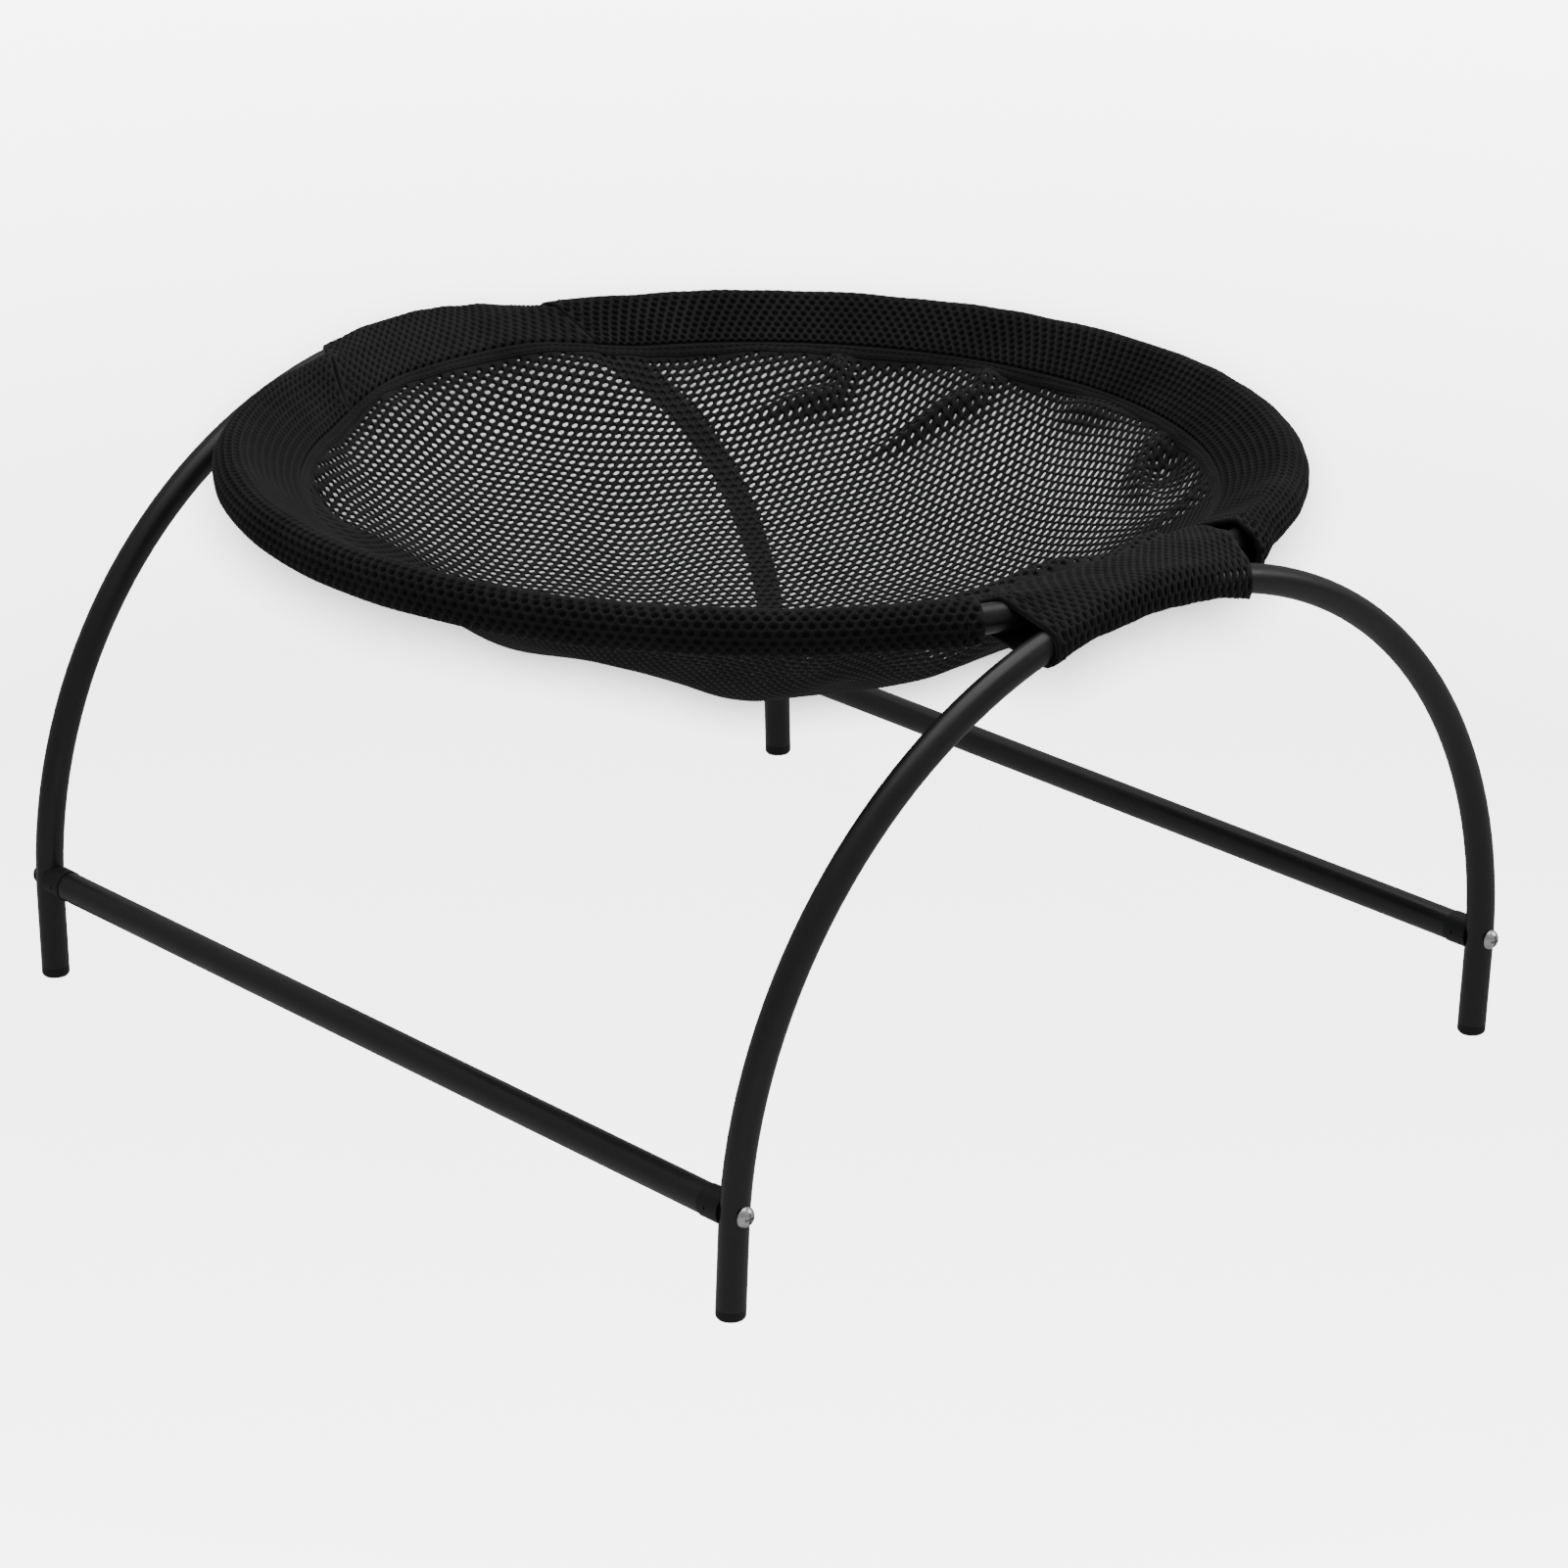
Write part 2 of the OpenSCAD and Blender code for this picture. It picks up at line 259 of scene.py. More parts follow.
def band(circles, count, start):
    """The outline stretched round circles, each (centre, radius): count points at equal steps, and
    the outward directions there. It begins in the direction start."""
    fine = 1440
    angle = start + np.linspace(0, FULL, fine, endpoint=False)
    way = np.stack([np.cos(angle), np.sin(angle)], 1)
    centres = np.array([c for c, r in circles], float)
    radii = np.array([r for c, r in circles], float)
    pick = (way @ centres.T + radii).argmax(1)
    point = centres[pick] + radii[pick, None] * way
    closed = np.vstack([point, point[:1]])
    closed_way = np.vstack([way, way[:1]])
    travelled = np.concatenate([[0], np.cumsum(np.linalg.norm(np.diff(closed, axis=0), axis=1))])
    travelled += np.arange(fine + 1) * 1e-12
    at = np.linspace(0, travelled[-1], count, endpoint=False)
    outline = np.stack([np.interp(at, travelled, closed[:, i]) for i in (0, 1)], 1)
    out = np.stack([np.interp(at, travelled, closed_way[:, i]) for i in (0, 1)], 1)
    return outline, out / np.linalg.norm(out, axis=1, keepdims=True)


class ClothTube:
    """A cloth tube's face: stations along it, each a closed loop of points with outward directions."""

    LOOP = 240

    def __init__(self, points, outs):
        self.points = np.array(points)
        self.outs = np.array(outs)

    def length(self):
        steps = np.diff(self.points, axis=0)
        return np.linalg.norm(steps, axis=2).sum(0).mean()

    def girth(self):
        steps = self.points - np.roll(self.points, 1, axis=1)
        return np.linalg.norm(steps, axis=2).sum(1).mean()

    def at(self, u, v, depth=0.0):
        """Points at shares u along and v round the tube, depth below its face."""
        u = np.clip(np.asarray(u, float), 0, 1) * (len(self.points) - 1)
        v = (np.asarray(v, float) % 1) * self.LOOP
        i = np.minimum(u.astype(int), len(self.points) - 2)
        j = v.astype(int) % self.LOOP
        f = (u - i)[:, None]
        g = (v - np.floor(v))[:, None]
        k = (j + 1) % self.LOOP

        def mix(grid):
            near = grid[i, j] * (1 - g) + grid[i, k] * g
            far = grid[i + 1, j] * (1 - g) + grid[i + 1, k] * g
            return near * (1 - f) + far * f

        return mix(self.points) - np.reshape(depth, (-1, 1)) * mix(self.outs)

    def turned(self):
        """The same tube turned half way round the Z axis."""
        half_turn = np.array([-1, -1, 1])
        return ClothTube(self.points * half_turn, self.outs * half_turn)


def wave(seed, count, shortest, longest):
    """A smooth random function of two lengths, between about -1 and 1, the same at each run."""
    draw = np.random.default_rng(seed)
    size = draw.uniform(shortest, longest, count)
    turn = draw.uniform(0, FULL, count)
    phase = draw.uniform(0, FULL, count)

    def value(x, y):
        x, y = np.asarray(x)[..., None], np.asarray(y)[..., None]
        across = x * np.cos(turn) + y * np.sin(turn)
        return np.sin(FULL * across / size + phase).sum(-1) / math.sqrt(count)

    return value


# ---- Knitted mesh ----

def hexagon(j, m):
    """Corner keys of the mesh cell in row j and half column m: the rows and quarter columns."""
    q = 2 * m
    return [(j, q + 2), (j + 1, q + 1), (j + 1, q), (j, q - 1), (j - 1, q), (j - 1, q + 1)]


def corner_across(q, a, b):
    """How far across quarter column q lies, for cells a wide and b long."""
    reach = a / 4 - b * b / (4 * a)
    return (q // 2) * a / 2 + np.where(q % 2 == 1, reach, -reach)


def hole_ring(hole):
    """Six points of an oval hole about its cell's centre, as (across, along)."""
    across, along = hole
    return [(across * math.cos(k * FULL / 6), along * math.sin(k * FULL / 6)) for k in range(6)]


def knit_tube(outer, inner, turns, rows, hole, pit, ridge):
    """Points and faces of a knitted cloth tube with pits outside and a plain inside.
    turns and rows count the cells round and along it. hole is the pits' half width and half length,
    pit their depth, and ridge how far the yarn between them stands proud."""
    a = outer.girth() / turns
    b = outer.length() / rows
    keys, faces, rims = {}, [], []

    def corner(key):
        j, q = key
        return keys.setdefault((min(max(j, 0), 2 * rows), q % (4 * turns)), len(keys))

    cells = [(j, m) for j in range(2 * rows + 1) for m in range(j % 2, 2 * turns, 2)]
    outlines = [[corner(key) for key in hexagon(j, m)] for j, m in cells]
    holed = [(c, o) for c, o in zip(cells, outlines) if 0 < c[0] < 2 * rows]
    faces += [o for c, o in zip(cells, outlines) if not 0 < c[0] < 2 * rows]

    spots = np.array(list(keys))
    corner_v = corner_across(spots[:, 1], a, b) / outer.girth()
    corner_u = spots[:, 0] / (2 * rows)
    at_end = (spots[:, 0] == 0) | (spots[:, 0] == 2 * rows)
    points = [outer.at(corner_u, corner_v, np.where(at_end, 0.0, -ridge))]

    middles = np.array([c for c, o in holed], float)
    middle_u = middles[:, 0] / (2 * rows)
    middle_v = middles[:, 1] / (2 * turns)
    start = len(keys)
    levels = ((1.0, 0.35 * pit), (0.86, pit))
    for size, depth in levels:
        for across, along in hole_ring(hole):
            u = middle_u + size * along / outer.length()
            v = middle_v + size * across / outer.girth()
            points.append(outer.at(u, v, depth))
    count = len(holed)
    for i, (cell, outline) in enumerate(holed):
        rim = [start + k * count + i for k in range(6)]
        floor = [start + (6 + k) * count + i for k in range(6)]
        for k in range(6):
            n = (k + 1) % 6
            faces.append([outline[k], outline[n], rim[n], rim[k]])
            faces.append([rim[k], rim[n], floor[n], floor[k]])
        faces.append(floor)

    # The plain inside, whose loops meet the outer face's end loops point for point
    loop = 4 * turns
    loop_v = corner_across(np.arange(loop), a, b) / outer.girth()
    stations = max(8, rows // 2)
    start = sum(len(p) for p in points)
    for s in range(stations + 1):
        points.append(inner.at(np.full(loop, s / stations), loop_v))
    for q in range(loop):
        n = (q + 1) % loop
        for s in range(stations):
            here = start + s * loop
            faces.append([here + q, here + n, here + loop + n, here + loop + q])
        for j, s in ((0, 0), (2 * rows, stations)):
            here = start + s * loop
            faces.append([keys[(j, q)], keys[(j, n)], here + n, here + q])
    return np.vstack(points), faces


# ---- Rim pockets ----

POCKET_TURNS = 13
POCKET_ROWS = 118
POCKET_HOLE = (1.6 * MM, 1.38 * MM)
PIT = 1.7 * MM
RIDGE = 0.12 * MM
# Each pocket's first and last end, in degrees round the ring: at the seam, and at the ring's top
POCKET_ENDS = {
    "left": ((115.4, 107.3), (250.5, 250.5)),
    "right": ((-66.0, -71.2), (70.9, 73.9)),
}
# Extra radius of the loose cloth at those ends
POCKET_FLARE = {"left": (0.9 * MM, 0.5 * MM), "right": (2.8 * MM, 0.3 * MM)}
# How far along the pocket that looseness reaches
FLARE_REACH = 26 * MM
# Lengths round the pockets and sleeves over which the small waves in the cloth run
POCKET_WRAP = 88 * MM
SLEEVE_WRAP = 110 * MM
# The small waves fade within this distance of the seam
CALM_BY_SEAM = 12 * MM
# The inner face of the doubled cloth begins this far outside the seam, with this radius
INNER_SHIFT = 3 * MM
INNER_TIP_R = 0.3 * MM


def small_waves(rumple, height, along, wrap):
    """How far the cloth's small waves stand out at each point of a loop that begins at its seam."""
    round_it = np.linspace(0, wrap, ClothTube.LOOP, endpoint=False)
    from_seam = np.minimum(round_it, wrap - round_it)
    return height * rumple(along, round_it) * smooth_step(from_seam / CALM_BY_SEAM)


def pocket_tubes(side, seed):
    """The outer and inner faces of a rim pocket."""
    rumple = wave(seed, 7, 18 * MM, 60 * MM)
    ends = np.radians(POCKET_ENDS[side])
    flare = np.array(POCKET_FLARE[side])
    length = (ends[1, 1] - ends[0, 1]) * RING_R
    faces = ([], []), ([], [])
    for share in np.linspace(0, 1, 181):
        at_seam, at_ring = ends[0] + (ends[1] - ends[0]) * share
        from_ends = np.array([share, 1 - share]) * length
        loose = flare @ (1 - smooth_step(from_ends / FLARE_REACH))
        for (points, outs), trim, tip, shift in (
            (faces[0], 0, TIP_R, 0),
            (faces[1], CLOTH_T, INNER_TIP_R, INNER_SHIFT),
        ):
            droop = 0.6 * loose
            circles = [
                ((RING_R + 0.3 * loose, RING_Z - droop), CLOTH_R + loose - trim),
                ((SEAM_R + shift, SEAM_Z + shift / 4 + float(seam_rise(at_seam))), tip),
            ]
            outline, out = band(circles, ClothTube.LOOP, math.pi)
            outwards = np.clip((outline[:, 0] - SEAM_R) / (RING_R - SEAM_R), 0, 1.2)
            angle = at_seam + (at_ring - at_seam) * outwards
            radial = np.stack([np.cos(angle), np.sin(angle), 0 * angle], 1)
            upright = np.array([0, 0, 1])
            place = outline[:, :1] * radial + outline[:, 1:] * upright
            way = out[:, :1] * radial + out[:, 1:] * upright
            lift = small_waves(rumple, 0.2 * MM, share * length, POCKET_WRAP)
            points.append(place + lift[:, None] * way)
            outs.append(way)
    return ClothTube(*faces[0]), ClothTube(*faces[1])


def rim_pocket(side, seed):
    outer, inner = pocket_tubes(side, seed)
    points, faces = knit_tube(outer, inner, POCKET_TURNS, POCKET_ROWS, POCKET_HOLE, PIT, RIDGE)
    piece = make_piece(f"{side}_rim_pocket_cloth", points, faces, RIM_YARN)
    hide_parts(f"{side}_rim_pocket")
    outer.girth()
    outer.length()
    return outer


# ---- Arch sleeves ----

SLEEVE_TURNS = 15
SLEEVE_ROWS = 29
SLEEVE_HOLE = (2.3 * MM, 0.85 * MM)
SLEEVE_LENGTH = 120 * MM


def arch_point(x):
    """The middle of the front arch's tube at x."""
    rise = math.sqrt(ARCH_R * ARCH_R - x * x) - ARCH_R
    return np.array([x, CROWN_Y - rise * math.sin(LEAN), CROWN_Z + rise * math.cos(LEAN)])


def sleeve_loop(share, tube_r, tip, shift, bulge):
    """One loop of the front sleeve, in the upright plane from the seam to the arch."""
    angle = SLEEVE_SEAM[0] + (SLEEVE_SEAM[1] - SLEEVE_SEAM[0]) * share
    arch = arch_point(SLEEVE_ARCH[0] + (SLEEVE_ARCH[1] - SLEEVE_ARCH[0]) * share)
    seam = (SEAM_R + shift) * np.array([math.cos(angle), math.sin(angle)])
    span = np.linalg.norm(arch[:2] - seam)
    out = (arch[:2] - seam) / span
    inward = seam @ out
    to_ring = -inward + math.sqrt(inward * inward + RING_R * RING_R - seam @ seam)
    rise = float(seam_rise(angle))
    circles = [
        ((span, arch[2]), tube_r + bulge),
        ((to_ring, RING_Z), tube_r),
        ((0, SEAM_Z + rise), tip),
        ((0, SEAM_Z + rise / 2), tip),
    ]
    outline, way = band(circles, ClothTube.LOOP, math.pi)
    flat = np.array([out[0], out[1], 0])
    base = np.array([seam[0], seam[1], 0])
    upright = np.array([0, 0, 1])
    points = base + outline[:, :1] * flat + outline[:, 1:] * upright
    return points, way[:, :1] * flat + way[:, 1:] * upright


def sleeve_tubes(seed):
    """The outer and inner faces of the front sleeve."""
    rumple = wave(seed, 6, 14 * MM, 40 * MM)
    outer, inner = ([], []), ([], [])
    for share in np.linspace(0, 1, 61):
        end = 1 - smooth_step(min(share, 1 - share) / 0.06)
        bulge = 0.35 * MM * end
        points, outs = sleeve_loop(share, SLEEVE_R, TIP_R, 0, bulge)
        lift = small_waves(rumple, 0.28 * MM, share * SLEEVE_LENGTH, SLEEVE_WRAP)
        outer[0].append(points + lift[:, None] * outs)
        outer[1].append(outs)
        points, outs = sleeve_loop(share, SLEEVE_R - CLOTH_T, INNER_TIP_R, INNER_SHIFT, bulge)
        inner[0].append(points)
        inner[1].append(outs)
    return ClothTube(*outer), ClothTube(*inner)


def arch_sleeve(side, seed):
    outer, inner = sleeve_tubes(seed)
    if side == "rear":
        outer, inner = outer.turned(), inner.turned()
    points, faces = knit_tube(outer, inner, SLEEVE_TURNS, SLEEVE_ROWS, SLEEVE_HOLE, PIT, RIDGE)
    piece = make_piece(f"{side}_arch_sleeve_cloth", points, faces, RIM_YARN)
    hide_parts(f"{side}_arch_sleeve")
    outer.girth()
    outer.length()
    return outer


# ---- Net ----

NET_A = 8.15 * MM
NET_B = 4.25 * MM
NET_HOLE = (1.75 * MM, 0.72 * MM)
NET_T = 1.4 * MM
TAPE_W = 5.5 * MM

# The rolls of net that the arch sleeves raise just inside the seam: the middle of each and its half
# width in degrees round the ring, its height, and how far in from the seam it reaches
LIFTS = [
    (-92, 32, 12 * MM, 60 * MM),
    (91, 28, 1 * MM, 30 * MM),
]

# Creases: the points of each fold on the floor plan in mm, its height and its half width in mm
CREASES = [
    ([(150, 122), (144, 108), (137, 104), (125, 113), (109, 124), (96, 128)], 5.0, 3.2),
    ([(184, 62), (177, 50), (169, 48), (158, 59), (144, 68), (134, 76), (120, 85)], 5.5, 3.2),
    ([(186, -24), (183, -10), (182, 2), (184, 14)], 4.0, 3.6),
    ([(181, -76), (177, -66), (170, -58), (162, -60), (155, -68), (150, -77), (144, -92)], 6.0, 4.2),
    ([(150, -120), (139, -116), (134, -109), (126, -100)], 4.5, 3.6),
]
# Dents, and where the depth is negative raised places: the middle on the floor plan in mm, the
# depth and the half width in mm
DENTS = [
    ((170, -72), 8, 12),
    ((-128, 125), 6, 12),
    ((-120, -12), -6.5, 45),
    ((-100, -48), -7, 32),
    ((-105, -43), -3, 9),
    ((0, -122), -6, 35),
]


class Bowl:
    """The hanging net's middle face. Flat places on the cut cloth go to places on the bowl."""

    def __init__(self):
        self.radii = np.linspace(0, EDGE_R, 2001)
        slope = SAG * BELLY / EDGE_R * (self.radii / EDGE_R) ** (BELLY - 1)
        steps = np.sqrt(1 + slope ** 2) * (self.radii[1] - self.radii[0])
        self.run = np.concatenate([[0], np.cumsum((steps[1:] + steps[:-1]) / 2)])
        self.flat_r = self.run[-1]
        self.soft = wave(5, 9, 55 * MM, 120 * MM)
        self.gather = wave(8, 9, 12 * MM, 34 * MM)
        self.share = wave(9, 5, 60 * MM, 200 * MM)

    def fold(self, x, y):
        """Height of the creases and dents over the smooth bowl."""
        lift = np.zeros_like(x)
        for corners, height, width in CREASES:
            path = np.array(corners) * MM
            lift = np.maximum(lift, height * MM * crease_profile(x, y, path, width * MM))
        for middle, depth, width in DENTS:
            away = np.hypot(x - middle[0] * MM, y - middle[1] * MM) / (width * MM)
            lift = lift - depth * MM * np.exp(-away * away)
        return lift

    def closing(self, flat_x, flat_y):
        """How far the net's holes stay open at flat places: 1, and less in folds and near the seam."""
        flat = np.hypot(flat_x, flat_y)
        scale = np.interp(flat, self.run, self.radii) / np.maximum(flat, 1e-9)
        shut = np.zeros_like(flat)
        for corners, height, width in CREASES:
            path = np.array(corners) * MM
            profile = crease_profile(flat_x * scale, flat_y * scale, path, 1.5 * width * MM)
            shut = np.maximum(shut, profile)
        by_seam = smooth_step((self.flat_r - TAPE_W - flat) / (9 * MM))
        return (1 - 0.8 * shut) * (0.45 + 0.55 * by_seam)

    def lift(self, degrees, from_seam):
        """Height that the arch sleeves and the seam's rise add to the net near them."""
        total = np.zeros_like(from_seam)
        for middle, width, roll, reach in LIFTS:
            near = 1 - smooth_step((np.abs(degrees - middle) / width - 0.45) / 0.55)
            fade = 1 - smooth_step((from_seam - TAPE_W) / reach)
            total = total + near * fade * roll * smooth_step(from_seam / (14 * MM))
        fade = 1 - smooth_step((from_seam - TAPE_W) / (40 * MM))
        return total + fade * seam_rise(np.radians(degrees))

    def at(self, flat_x, flat_y):
        """The point of the bowl that each flat place comes to."""
        flat = np.hypot(flat_x, flat_y)
        r = np.interp(flat, self.run, self.radii)
        scale = np.where(flat > 0, r / np.maximum(flat, 1e-9), 1.0)
        x, y = flat_x * scale, flat_y * scale
        z = SEAM_Z - SAG * (1 - (r / EDGE_R) ** BELLY) - NET_SOLID_T / 2
        from_seam = self.flat_r - flat
        angle = np.arctan2(y, x)
        round_it = angle * EDGE_R
        z = z + self.lift(np.degrees(angle), from_seam)
        inside = smooth_step(from_seam / (14 * MM))
        z = z + 1.6 * MM * self.soft(x, y) * inside
        ripple = np.exp(-from_seam / (22 * MM)) * smooth_step(from_seam / (6 * MM))
        size = 0.5 + 0.5 * np.tanh(self.share(round_it, 0 * round_it))
        z = z + 1.5 * MM * size * ripple * self.gather(round_it, from_seam * 0.35)
        z = z + self.fold(x, y) * inside
        return np.stack([x, y, z], 1)

    def sheet(self, flat_x, flat_y):
        """The bowl's points and upward normals at flat places."""
        step = 0.25 * MM
        across = self.at(flat_x + step, flat_y) - self.at(flat_x - step, flat_y)
        along = self.at(flat_x, flat_y + step) - self.at(flat_x, flat_y - step)
        normal = np.cross(across, along)
        normal /= np.linalg.norm(normal, axis=1, keepdims=True)
        return self.at(flat_x, flat_y), normal


def crease_profile(x, y, path, width):
    """1 on a path and 0 away from it, fading at the path's inner end."""
    best = np.zeros_like(x)
    lengths = np.linalg.norm(np.diff(path, axis=0), axis=1)
    run = np.concatenate([[0], np.cumsum(lengths)])
    for i in range(len(path) - 1):
        way = (path[i + 1] - path[i]) / lengths[i]
        along = np.clip((x - path[i, 0]) * way[0] + (y - path[i, 1]) * way[1], 0, lengths[i])
        away = np.hypot(x - path[i, 0] - along * way[0], y - path[i, 1] - along * way[1])
        fade = smooth_step((run[-1] - run[i] - along) / (0.6 * run[-1]))
        spread = width * (0.6 + 0.7 * fade)
        best = np.maximum(best, fade * np.exp(-(away / spread) ** 2))
    return best


def net_mesh(bowl):
    """Points and faces of the net: lens shaped yarn round real holes, closed at the seam."""
    reach = int(bowl.flat_r / (NET_A / 2)) + 3
    lines = int(bowl.flat_r / (NET_B / 2)) + 3
    keys, cells = {}, []
    hole_limit = bowl.flat_r - TAPE_W * 0.75
    for j in range(-lines, lines + 1):
        for m in range(-reach, reach + 1):
            if (j + m) % 2:
                continue
            corners = hexagon(j, m)
            q = np.array([c[1] for c in corners])
            x = corner_across(q, NET_A, NET_B)
            y = np.array([c[0] for c in corners]) * NET_B / 2
            if np.hypot(x, y).min() >= bowl.flat_r:
                continue
            outline = [keys.setdefault(c, len(keys)) for c in corners]
            holed = np.hypot(x, y).max() < hole_limit
            cells.append((m * NET_A / 2, j * NET_B / 2, outline, holed))
    spots = np.array(list(keys))
    x = corner_across(spots[:, 1], NET_A, NET_B)
    y = spots[:, 0] * NET_B / 2
    far = np.hypot(x, y)
    border = far >= bowl.flat_r
    pull = np.where(border, bowl.flat_r / far, 1.0)
    middle, normal = bowl.sheet(x * pull, y * pull)
    half = np.where(border, 0.0, NET_T / 2)[:, None]
    count = len(spots)
    points = [middle + half * normal, middle - half * normal]
    lower = np.where(border, np.arange(count), np.arange(count) + count)
    holes = [c for c in cells if c[3]]
    centre = np.array([c[:2] for c in holes])
    open_share = bowl.closing(centre[:, 0], centre[:, 1])
    start = 2 * count
    for across, along in hole_ring(NET_HOLE):
        rim = bowl.at(centre[:, 0] + across * open_share, centre[:, 1] + along * open_share)
        points.append(rim)
    faces = []
    for outline in [c[2] for c in cells if not c[3]]:
        faces.append(outline)
        faces.append([int(lower[k]) for k in outline])
    for i, hole in enumerate(holes):
        outline = hole[2]
        for k in range(6):
            n = (k + 1) % 6
            rim = [start + k * len(holes) + i, start + n * len(holes) + i]
            faces.append([outline[k], outline[n], rim[1], rim[0]])
            faces.append([int(lower[outline[n]]), int(lower[outline[k]]), rim[0], rim[1]])
    return np.vstack(points), [tidy_face(f) for f in faces if tidy_face(f)]


def tidy_face(face):
    """A face without repeated corners, or None where nothing is left."""
    kept = [p for i, p in enumerate(face) if p != face[i - 1]]
    return kept if len(set(kept)) > 2 else None


def net_sling(bowl):
    points, faces = net_mesh(bowl)
    piece = make_piece("net_sling_cloth", points, faces, NET_YARN)
    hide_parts("net_sling")
    return piece


# ---- Seam tape and stitches ----

def seam_tape(bowl):
    """The turned edge of the net: a flat band that lies on it just inside the seam."""
    around = 900
    thick = 0.9 * MM
    # Each point: how far in, as a share of the tape's width, and how high, in thicknesses
    profile = [
        (0.03, 0.35), (0.03, 1.0), (0.07, 1.2), (0.28, 1.25), (0.42, 1.1), (0.56, 1.25),
        (0.89, 1.2), (0.98, 1.0), (1.0, 0.35),
    ]
    loops = []
    angle = np.linspace(0, FULL, around, endpoint=False)
    for inwards, height in profile:
        flat = bowl.flat_r - inwards * TAPE_W
        middle, normal = bowl.sheet(flat * np.cos(angle), flat * np.sin(angle))
        loops.append(middle + normal * height * thick)
    count = len(profile)
    faces = []
    for k in range(count):
        here, there = k * around, ((k + 1) % count) * around
        for i in range(around):
            n = (i + 1) % around
            faces.append([here + i, here + n, there + n, there + i])
    return make_piece("net_seam_tape", np.vstack(loops), faces, TAPE_YARN)


def stitch(start, end, up, radius):
    """Points and faces of one raised stitch from start to end."""
    sides = 6
    way = (end - start) / np.linalg.norm(end - start)
    side = np.cross(way, up)
    points = [start - 0.4 * radius * up]
    for share, size, rise in ((0.12, 0.7, 0.3), (0.5, 1.0, 0.6), (0.88, 0.7, 0.3)):
        middle = start + (end - start) * share + up * rise * radius
        for k in range(sides):
            turn = k * FULL / sides
            points.append(middle + radius * size * (math.cos(turn) * side + math.sin(turn) * up))
    points.append(end - 0.4 * radius * up)
    faces = []
    for k in range(sides):
        n = (k + 1) % sides
        faces.append([0, 1 + n, 1 + k])
        for ring in (0, 1):
            a, b = 1 + ring * sides, 1 + (ring + 1) * sides
            faces.append([a + k, a + n, b + n, b + k])
        faces.append([1 + 2 * sides + k, 1 + 2 * sides + n, 1 + 3 * sides])
    return points, faces


def stitches(name, line, ups, length, space, radius=0.22 * MM):
    """A row of stitches along a line of points, with the upward direction at each point."""
    run = np.concatenate([[0], np.cumsum(np.linalg.norm(np.diff(line, axis=0), axis=1))])
    pitch = length + space
    points, faces = [], []
    for k in range(int(run[-1] / pitch)):
        ends = [np.array([np.interp(s, run, line[:, i]) for i in range(3)])
                for s in (k * pitch, k * pitch + length)]
        up = np.array([np.interp(k * pitch + length / 2, run, ups[:, i]) for i in range(3)])
        up /= np.linalg.norm(up)
        more, their_faces = stitch(ends[0], ends[1], up, radius)
        faces += [[len(points) + p for p in face] for face in their_faces]
        points += more
    return make_piece(name, points, faces, THREAD)


def tape_stitches(bowl):
    rows = []
    for name, inwards in (("inner", 3.7 * MM), ("outer", 1.5 * MM)):
        angle = np.linspace(0, FULL, 1400)
        flat = bowl.flat_r - inwards
        middle, normal = bowl.sheet(flat * np.cos(angle), flat * np.sin(angle))
        line = middle + normal * 1.15 * MM
        rows.append(stitches(f"seam_stitches_{name}", line, normal, 2.6 * MM, 0.9 * MM))
    return rows


def hem_stitches(name, tube, share):
    """A row of stitches round a cloth tube's end, share of the way along it."""
    v = np.linspace(0.04, 0.96, 500)
    u = np.full(len(v), share)
    line = tube.at(u, v, -0.12 * MM)
    ups = line - tube.at(u, v, 1 * MM)
    return stitches(name, line, ups, 2.2 * MM, 0.9 * MM)


# ---- The object ----

def paint_cad(node, material):
    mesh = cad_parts[node].data
    mesh.materials.clear()
    mesh.materials.append(material)


def paint_frame():
    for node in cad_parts:
        if node == "frame_screws":
            paint_cad(node, SCREW_STEEL)
        elif node == "plug_nuts":
            paint_cad(node, NUT_STEEL)
        elif "foot_cap" in node or "saddle" in node or "plug" in node:
            paint_cad(node, PLASTIC)
        else:
            paint_cad(node, COAT)


def make_cloth():
    bowl = Bowl()
    net = net_sling(bowl)
    tape = seam_tape(bowl)
    rows = tape_stitches(bowl)
    left = rim_pocket("left", 21)
    right = rim_pocket("right", 22)
    front = arch_sleeve("front", 31)
    rear = arch_sleeve("rear", 32)
    for name, tube in (("left_pocket", left), ("right_pocket", right)):
        hem_stitches(f"{name}_hem_a", tube, 0.012)
        hem_stitches(f"{name}_hem_b", tube, 0.988)
    for name, tube in (("front_sleeve", front), ("rear_sleeve", rear)):
        hem_stitches(f"{name}_hem_a", tube, 0.05)
        hem_stitches(f"{name}_hem_b", tube, 0.95)


# ---- Stage ----

def add_area_light(name, place, target, size, power):
    light = bpy.data.lights.new(name, "AREA")
    light.shape = "RECTANGLE"
    light.size, light.size_y = size
    light.energy = power
    lamp = bpy.data.objects.new(name, light)
    lamp.location = place
    lamp.rotation_euler = (Vector(target) - Vector(place)).to_track_quat("-Z", "Y").to_euler()
    bpy.context.scene.collection.objects.link(lamp)


# The floor's whiteness near the bed as it is seen, and as it throws light back
FLOOR_WHITE = 0.2
FLOOR_BOUNCE = 0.017
# Powers of the light that brightens the floor, and of the sky
FLOOR_LIGHT = 2350
WORLD_LIGHT = 0.35
# The cloth whose shadow falls on the floor
SHADING_NODES = (
    "net_sling", "left_rim_pocket", "right_rim_pocket", "front_arch_sleeve", "rear_arch_sleeve",
)


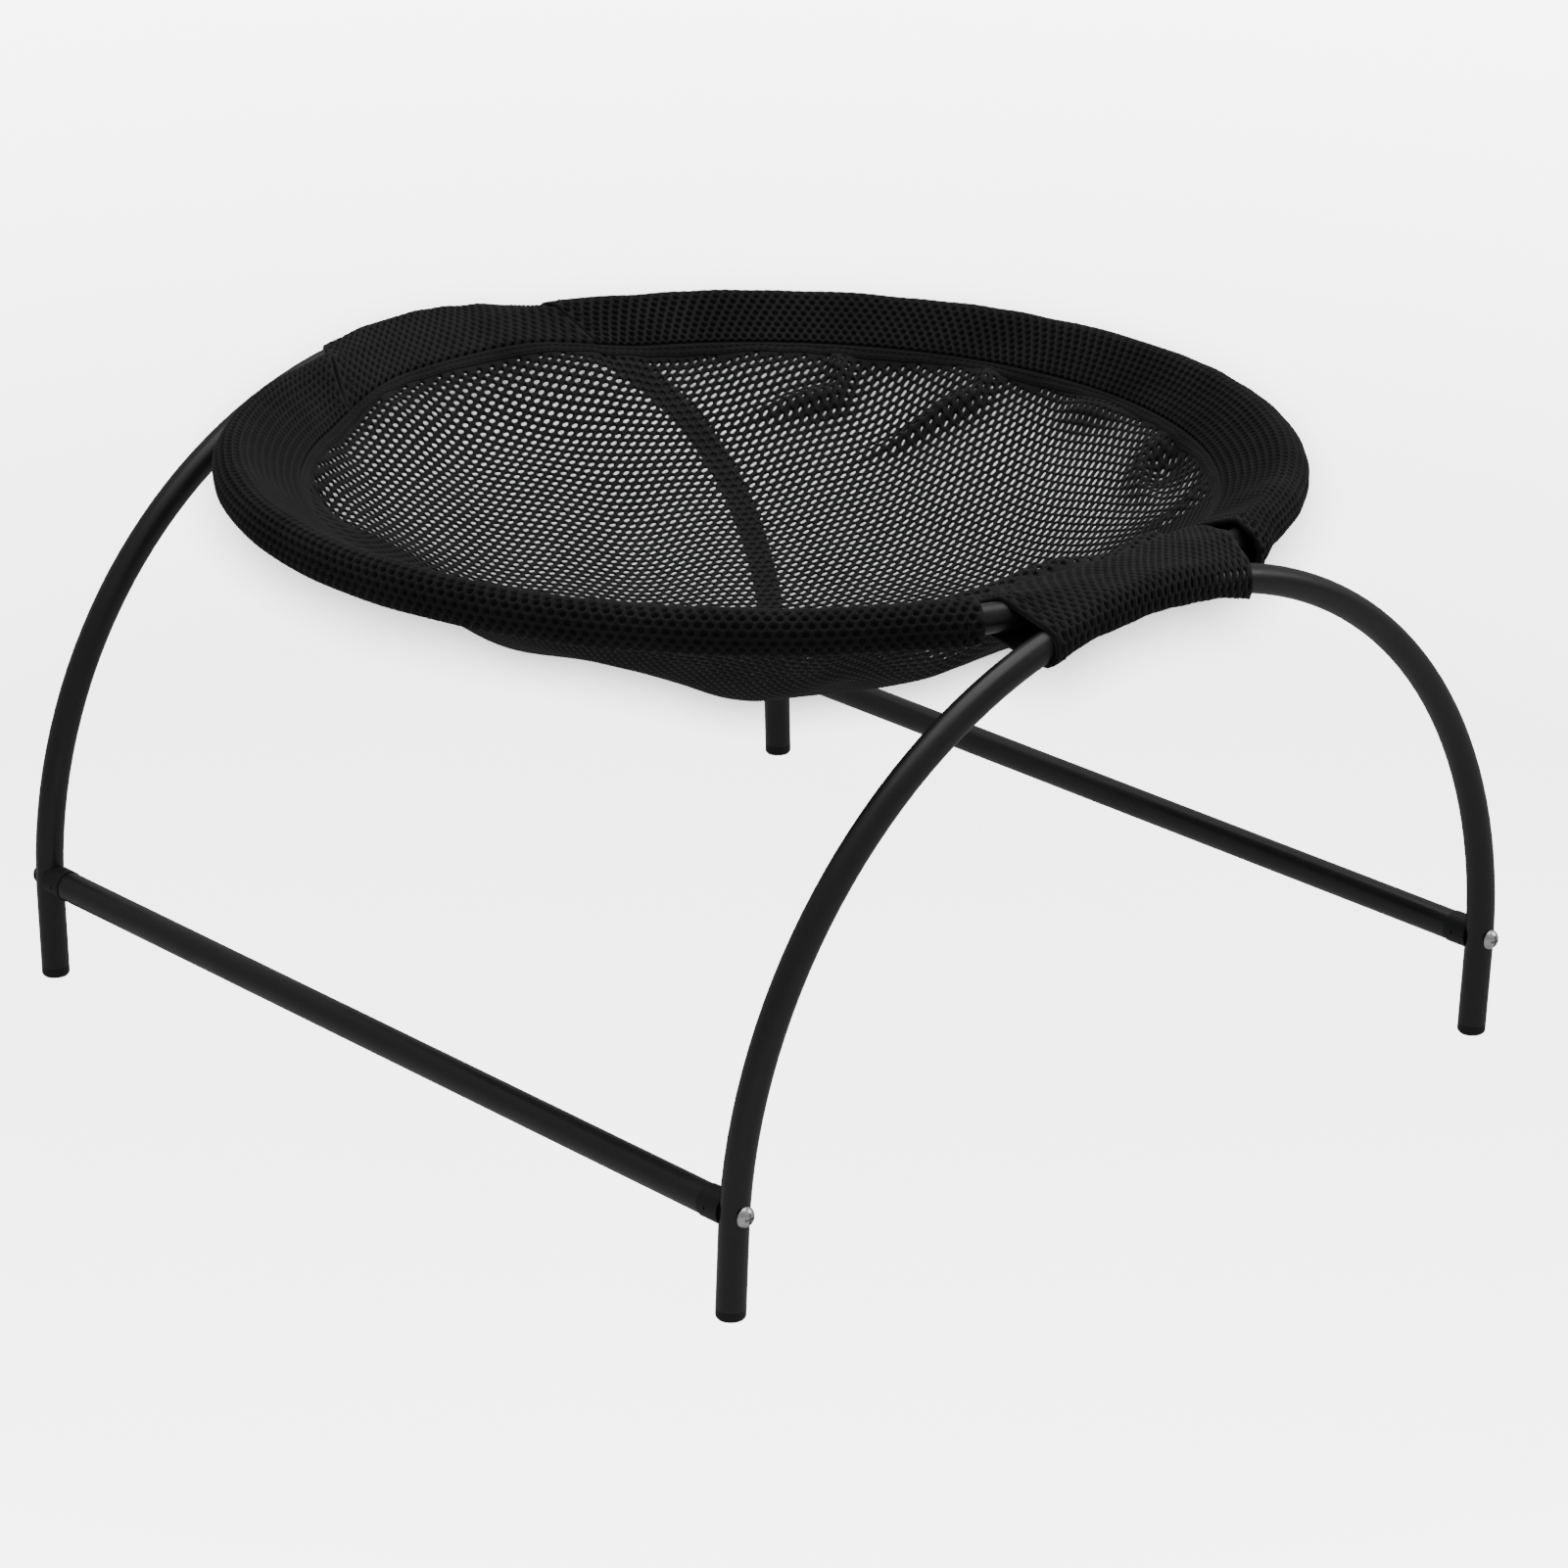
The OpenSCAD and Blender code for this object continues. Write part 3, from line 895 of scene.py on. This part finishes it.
def make_floor():
    half = 20.0
    corners = [(-half, -half, 0), (half, -half, 0), (half, half, 0), (-half, half, 0)]
    mesh = bpy.data.meshes.new("floor")
    mesh.from_pydata(corners, [], [(0, 1, 2, 3)])
    floor = bpy.data.objects.new("floor", mesh)
    floor.location.z = -0.2 * MM
    paint = bpy.data.materials.new("pale_floor")
    paint.use_nodes = True
    tree = paint.node_tree
    tree.nodes.clear()
    output = tree.nodes.new("ShaderNodeOutputMaterial")
    # The floor looks white in the picture and sends a modest light back to the object
    bounced = tree.nodes.new("ShaderNodeBsdfDiffuse")
    bounced.inputs["Color"].default_value = (FLOOR_BOUNCE, FLOOR_BOUNCE, FLOOR_BOUNCE, 1)
    seen = tree.nodes.new("ShaderNodeBsdfDiffuse")
    # Its seen colour is painted paler further from the middle: a painted brightening that makes up for
    # the light from in front reaching the far floor more slantwise
    place = tree.nodes.new("ShaderNodeTexCoord")
    reach = tree.nodes.new("ShaderNodeVectorMath")
    reach.operation = "LENGTH"
    painted_paleness = tree.nodes.new("ShaderNodeMapRange")
    painted_paleness.inputs["From Min"].default_value = 0.5
    painted_paleness.inputs["From Max"].default_value = 6
    painted_paleness.inputs["To Min"].default_value = FLOOR_WHITE
    painted_paleness.inputs["To Max"].default_value = 6 * FLOOR_WHITE
    tree.links.new(place.outputs["Object"], reach.inputs[0])
    tree.links.new(reach.outputs["Value"], painted_paleness.inputs["Value"])
    tree.links.new(painted_paleness.outputs["Result"], seen.inputs["Color"])
    path = tree.nodes.new("ShaderNodeLightPath")
    mix = tree.nodes.new("ShaderNodeMixShader")
    tree.links.new(path.outputs["Is Camera Ray"], mix.inputs[0])
    tree.links.new(bounced.outputs[0], mix.inputs[1])
    tree.links.new(seen.outputs[0], mix.inputs[2])
    tree.links.new(mix.outputs[0], output.inputs["Surface"])
    mesh.materials.append(paint)
    bpy.context.scene.collection.objects.link(floor)
    return floor


def make_collection(name, pieces):
    made = bpy.data.collections.new(name)
    for piece in pieces:
        made.objects.link(piece)
    return made


def add_floor_light(floor, cloth):
    """A light from in front that brightens only the floor. The cloth's shadow falls behind the bed."""
    light = bpy.data.lights.new("floor_light", "POINT")
    light.shadow_soft_size = 0.08
    light.energy = FLOOR_LIGHT
    light.use_nodes = True
    lamp = bpy.data.objects.new("floor_light", light)
    lamp.location = (-1.55, -1.74, 1.02)
    bpy.context.scene.collection.objects.link(lamp)
    tree = light.node_tree
    # It doesn't fade with distance
    even = tree.nodes.new("ShaderNodeLightFalloff")
    even.inputs["Strength"].default_value = 1.0
    tree.links.new(even.outputs["Constant"], tree.nodes["Emission"].inputs["Strength"])
    lamp.light_linking.receiver_collection = make_collection("lit_floor", [floor])
    lamp.light_linking.blocker_collection = make_collection("shading_cloth", cloth)


def make_world():
    world = bpy.data.worlds.new("soft_studio")
    world.use_nodes = True
    sky = world.node_tree.nodes["Background"]
    sky.inputs["Color"].default_value = (1, 1, 1, 1)
    sky.inputs["Strength"].default_value = WORLD_LIGHT
    bpy.context.scene.world = world


def make_camera():
    """The camera at the photograph's viewing angle."""
    sensor = 36.0
    view_angle = math.radians(15.44)
    azimuth, elevation, roll = math.radians(-41.98), math.radians(20.96), math.radians(0.51)
    distance = 2.3864
    target = Vector((-0.02184, -0.04023, 0.11699))
    level = math.cos(elevation)
    forward = Vector((-math.sin(azimuth) * level, math.cos(azimuth) * level, -math.sin(elevation)))
    right = forward.cross(Vector((0, 0, 1))).normalized()
    up = right.cross(forward)
    right_rolled = right * math.cos(roll) + up * math.sin(roll)
    up_rolled = up * math.cos(roll) - right * math.sin(roll)
    lens = bpy.data.cameras.new("camera")
    lens.sensor_width = sensor
    lens.lens = sensor / 2 / math.tan(view_angle / 2)
    camera = bpy.data.objects.new("camera", lens)
    turn = Matrix((right_rolled, up_rolled, -forward)).transposed().to_4x4()
    camera.matrix_world = Matrix.Translation(target - forward * distance) @ turn
    bpy.context.scene.collection.objects.link(camera)
    bpy.context.scene.camera = camera


make_camera()
paint_frame()
make_cloth()
floor = make_floor()
make_world()
add_floor_light(floor, [bpy.data.objects[f"{node}_cloth"] for node in SHADING_NODES])
add_area_light("top_light", (0.3, 0.2, 3.2), (0, 0, 0.1), (3.0, 3.0), 60)
add_area_light("side_light", (2.6, -1.6, 2.0), (0, 0, 0.1), (1.4, 1.4), 25)
